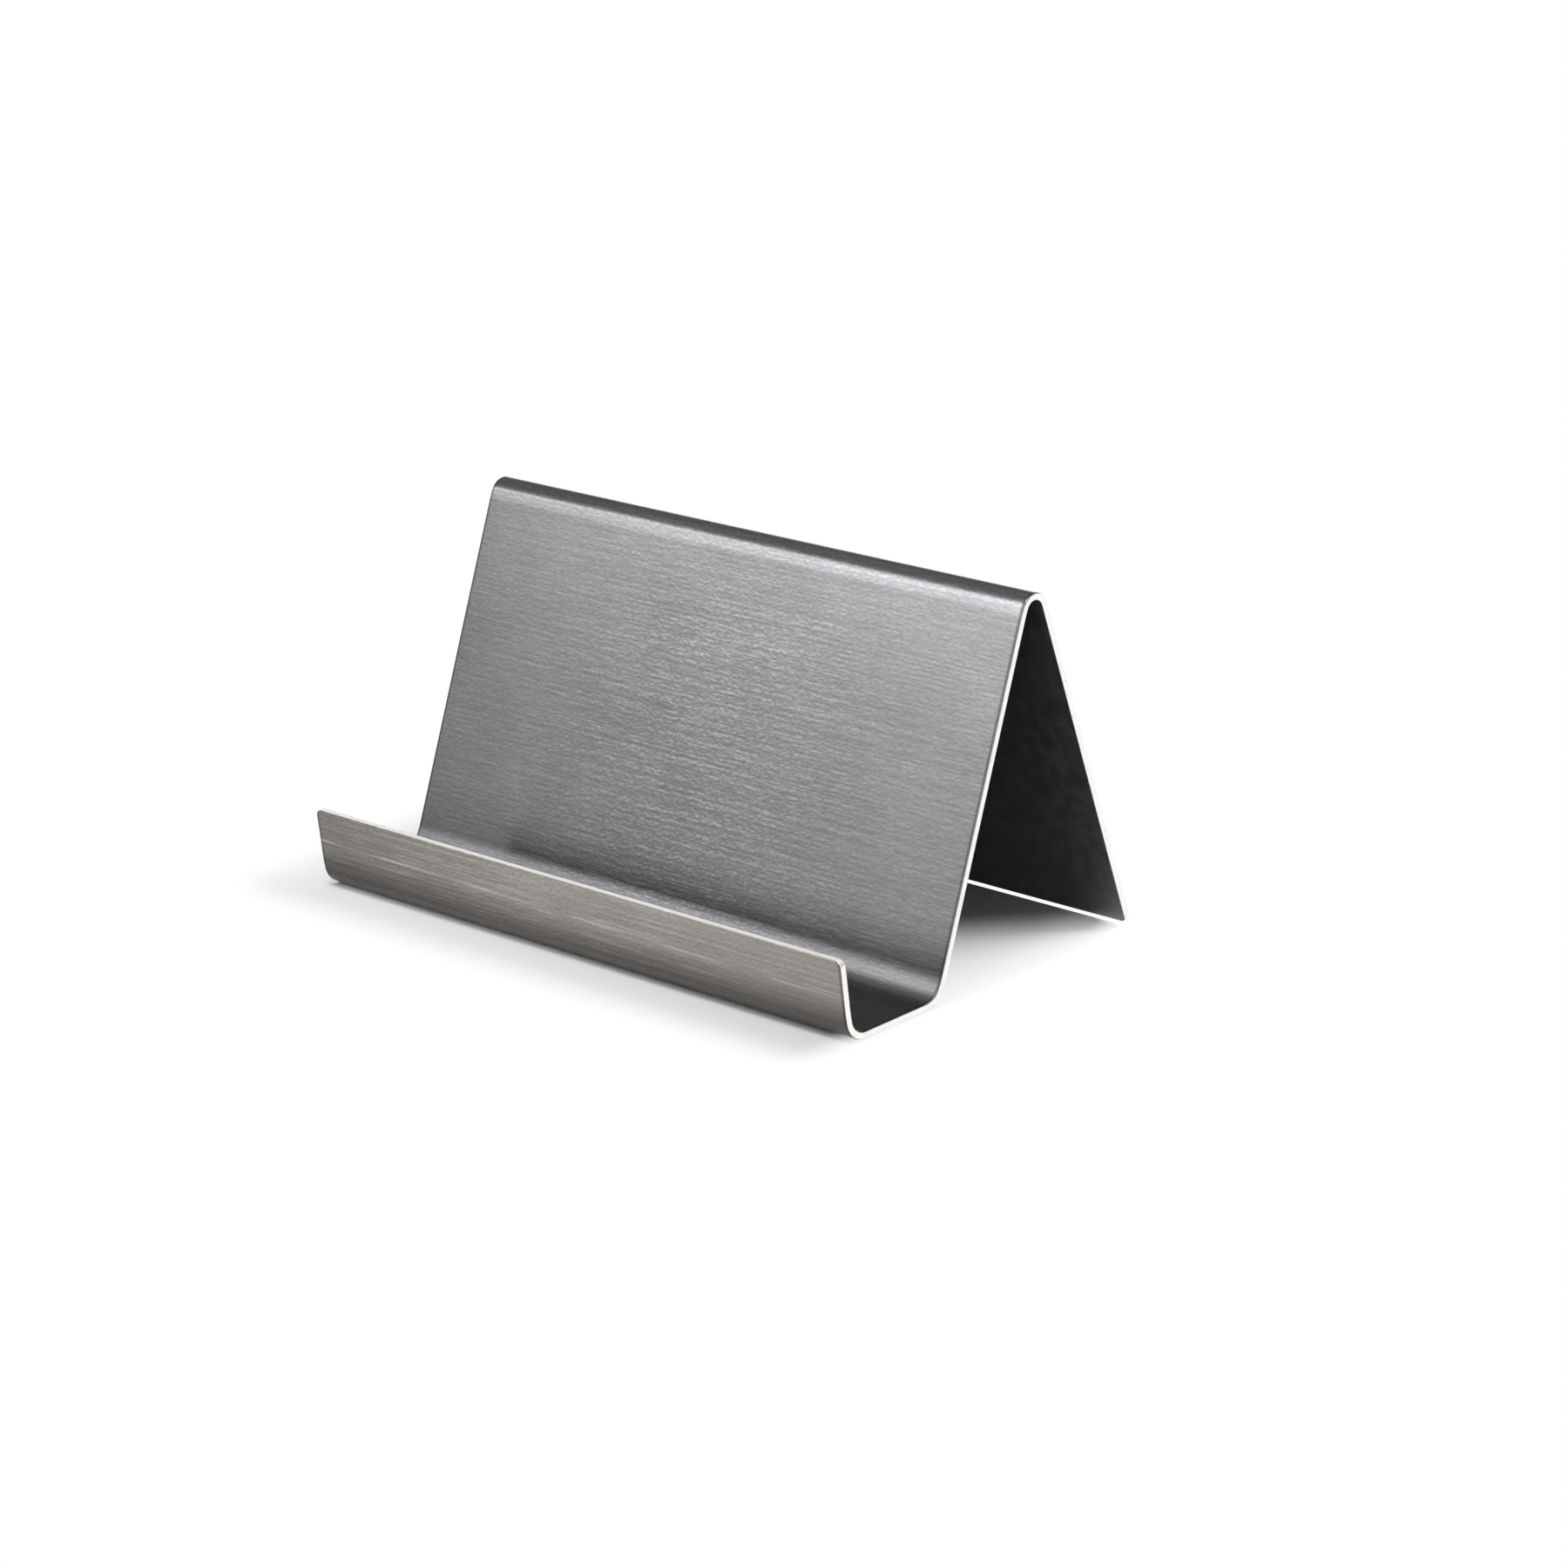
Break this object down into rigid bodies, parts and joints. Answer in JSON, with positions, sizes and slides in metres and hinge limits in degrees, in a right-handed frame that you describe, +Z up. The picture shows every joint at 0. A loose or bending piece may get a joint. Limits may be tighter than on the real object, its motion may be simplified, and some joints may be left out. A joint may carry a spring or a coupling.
{
  "type": "business card holder stand",
  "caption": "Desk stand for business cards, folded from brushed steel sheet: low front lip, flat tray, leaning back panel and a rear leg that props it up.",
  "frame": {"origin": "centre of the overall box, on the desk surface that the stand rests on", "axes": "+X across the width, to the right as seen from the front; +Y from the lip to the rear leg; +Z up"},
  "size_m": [0.09, 0.05, 0.045],
  "materials": {
    "brushed_sheet": "hairline brushed along the width, cut edges left bright"
  },
  "bodies": {
    "root": {"folded_sheet": "brushed_sheet"}
  },
  "joints": []
}
